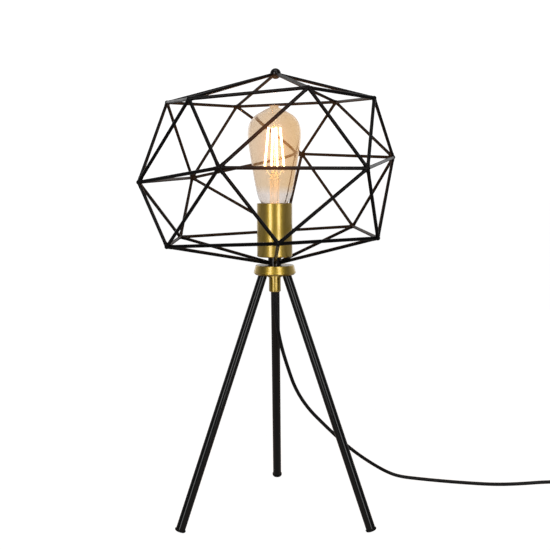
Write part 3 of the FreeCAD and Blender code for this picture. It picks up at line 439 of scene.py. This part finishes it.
def make_materials():
    materials = {
        "brass": brass(),
        "amber_glass": amber_glass(),
        "clear_glass": clear_glass(),
        "filament": filament(),
        "support_wire": support_wire(),
        "core_insulation": core_insulation(),
        "circuit_board": circuit_board(),
    }
    for name, values in BLACK_PAINTS.items():
        materials[name] = black_paint(name, **values)
    for name, values in BARE_METALS.items():
        materials[name] = bare_metal(name, **values)
    for name, values in MOULDINGS.items():
        materials[name] = moulded(name, **values)
    return materials


def paint(cords):
    """Give each node and cord the material of its slot in the record, and the cage its own coat."""
    materials = make_materials()
    for subpart in frame["record"]["subparts"]:
        name = subpart["node"]
        finish = "cage_paint" if name.startswith("cage_") else subpart["material_slot"]
        for slot in frame["nodes"][name].material_slots:
            slot.material = materials[finish]
    for cord in cords:
        cord.data.materials.append(materials["cord_jacket"])


# Floor and light

def seen_directly(nodes, links):
    """Is 1 for what the eye sees, also through the glass, and 0 for reflected and scattered light."""
    path = nodes.new("ShaderNodeLightPath")
    either = nodes.new("ShaderNodeMath")
    either.operation = "MAXIMUM"
    links.new(path.outputs["Is Camera Ray"], either.inputs[0])
    links.new(path.outputs["Is Transmission Ray"], either.inputs[1])
    return either.outputs["Value"]


def floor_paper():
    """Pale paper, as white to the eye as the surroundings, and darker in reflections."""
    finish = Finish("floor_paper", Roughness=0.9, Specular_IOR_Level=0.1)
    fibres = finish.noise(scale=400.0)
    strength = finish.nodes.new("ShaderNodeMapRange")
    strength.inputs["To Min"].default_value = FLOOR_IN_REFLECTIONS
    finish.links.new(seen_directly(finish.nodes, finish.links), strength.inputs["Value"])
    finish.feed("Base Color", finish.colours(fibres, first=(0.08, 0.08, 0.08), second=(0.10, 0.10, 0.10)))
    finish.feed("Emission Color", finish.colours(fibres, first=(0.97, 0.97, 0.97), second=(1.0, 1.0, 1.0)))
    finish.feed("Emission Strength", strength.outputs["Result"])
    return finish.material


def make_floor():
    half = FLOOR_HALF_SIZE
    corners = [(-half, -half, 0.0), (half, -half, 0.0), (half, half, 0.0), (-half, half, 0.0)]
    mesh = bpy.data.meshes.new("floor")
    mesh.from_pydata(corners, [], [(0, 1, 2, 3)])
    mesh.materials.append(floor_paper())
    floor = bpy.data.objects.new("floor", mesh)
    bpy.context.collection.objects.link(floor)


def softbox(name, bearing, distance, height, size, power):
    """Soft light on a bearing from the front, turned to the lamp and seen only in reflections."""
    angle = math.radians(bearing)
    place = Vector((distance * math.sin(angle), -distance * math.cos(angle), height))
    data = bpy.data.lights.new(name, "AREA")
    data.shape = "RECTANGLE"
    data.size, data.size_y = size
    data.energy = power
    light = bpy.data.objects.new(name, data)
    light.location = place
    light.rotation_euler = (Vector(AIM) - place).to_track_quat("-Z", "Y").to_euler()
    light.visible_camera = False
    light.visible_transmission = False
    bpy.context.collection.objects.link(light)


def bulb_light():
    """Warm light of the filaments on the wires round them, not seen itself."""
    data = bpy.data.lights.new("bulb_light", "POINT")
    data.color = BULB_LIGHT_COLOUR
    data.energy = BULB_LIGHT_POWER
    data.shadow_soft_size = BULB_LIGHT_RADIUS
    light = bpy.data.objects.new("bulb_light", data)
    light.location = BULB_LIGHT_PLACE
    light.visible_camera = False
    light.visible_transmission = False
    light.visible_glossy = False
    bpy.context.collection.objects.link(light)


def open_bulb():
    """The glass lets the bulb's light out, and the lit pieces in it stay out of reflections."""
    frame["nodes"]["bulb_glass"].visible_shadow = False
    for name in ("bulb_filaments", "bulb_support_wires"):
        frame["nodes"][name].visible_glossy = False
        frame["nodes"][name].visible_diffuse = False


def studio():
    """White surroundings to the eye, with a bright back and a dark front and sides to reflect."""
    world = bpy.data.worlds.new("studio")
    bpy.context.scene.world = world
    world.use_nodes = True
    nodes = world.node_tree.nodes
    links = world.node_tree.links
    nodes.clear()
    place = nodes.new("ShaderNodeTexCoord")
    parts = nodes.new("ShaderNodeSeparateXYZ")
    # A direction's Y goes from -1 in front to 1 behind
    depth = nodes.new("ShaderNodeMapRange")
    depth.inputs["From Min"].default_value = -1.0
    depth.inputs["From Max"].default_value = 1.0
    greys = nodes.new("ShaderNodeValToRGB")
    while len(greys.color_ramp.elements) < len(SURROUND_GREYS):
        greys.color_ramp.elements.new(1.0)
    for element, (position, grey) in zip(greys.color_ramp.elements, SURROUND_GREYS):
        element.position = position
        element.color = (grey, grey, grey, OPAQUE)
    surround = nodes.new("ShaderNodeBackground")
    white = nodes.new("ShaderNodeBackground")
    white.inputs["Color"].default_value = WHITE
    white.inputs["Strength"].default_value = WHITE_STRENGTH
    mix = nodes.new("ShaderNodeMixShader")
    output = nodes.new("ShaderNodeOutputWorld")
    links.new(place.outputs["Generated"], parts.inputs["Vector"])
    links.new(parts.outputs["Y"], depth.inputs["Value"])
    links.new(depth.outputs["Result"], greys.inputs["Fac"])
    links.new(greys.outputs["Color"], surround.inputs["Color"])
    links.new(seen_directly(nodes, links), mix.inputs["Fac"])
    links.new(surround.outputs["Background"], mix.inputs[1])
    links.new(white.outputs["Background"], mix.inputs[2])
    links.new(mix.outputs["Shader"], output.inputs["Surface"])


def halo():
    """Plain colours, with a soft halo round the filaments, as a lens gives."""
    scene = bpy.context.scene
    scene.view_settings.view_transform = "Standard"
    scene.use_nodes = True
    nodes = scene.node_tree.nodes
    links = scene.node_tree.links
    nodes.clear()
    picture = nodes.new("CompositorNodeRLayers")
    glare = nodes.new("CompositorNodeGlare")
    glare.glare_type = "BLOOM"
    glare.inputs["Threshold"].default_value = HALO_THRESHOLD
    glare.inputs["Strength"].default_value = HALO_STRENGTH
    glare.inputs["Tint"].default_value = HALO_TINT
    glare.inputs["Size"].default_value = HALO_SIZE
    result = nodes.new("CompositorNodeComposite")
    links.new(picture.outputs["Image"], glare.inputs["Image"])
    links.new(glare.outputs["Image"], result.inputs["Image"])


make_camera()
cords = make_cords()
paint(cords)
make_floor()
for light_name, setting in SOFTBOXES.items():
    softbox(light_name, **setting)
bulb_light()
open_bulb()
studio()
halo()
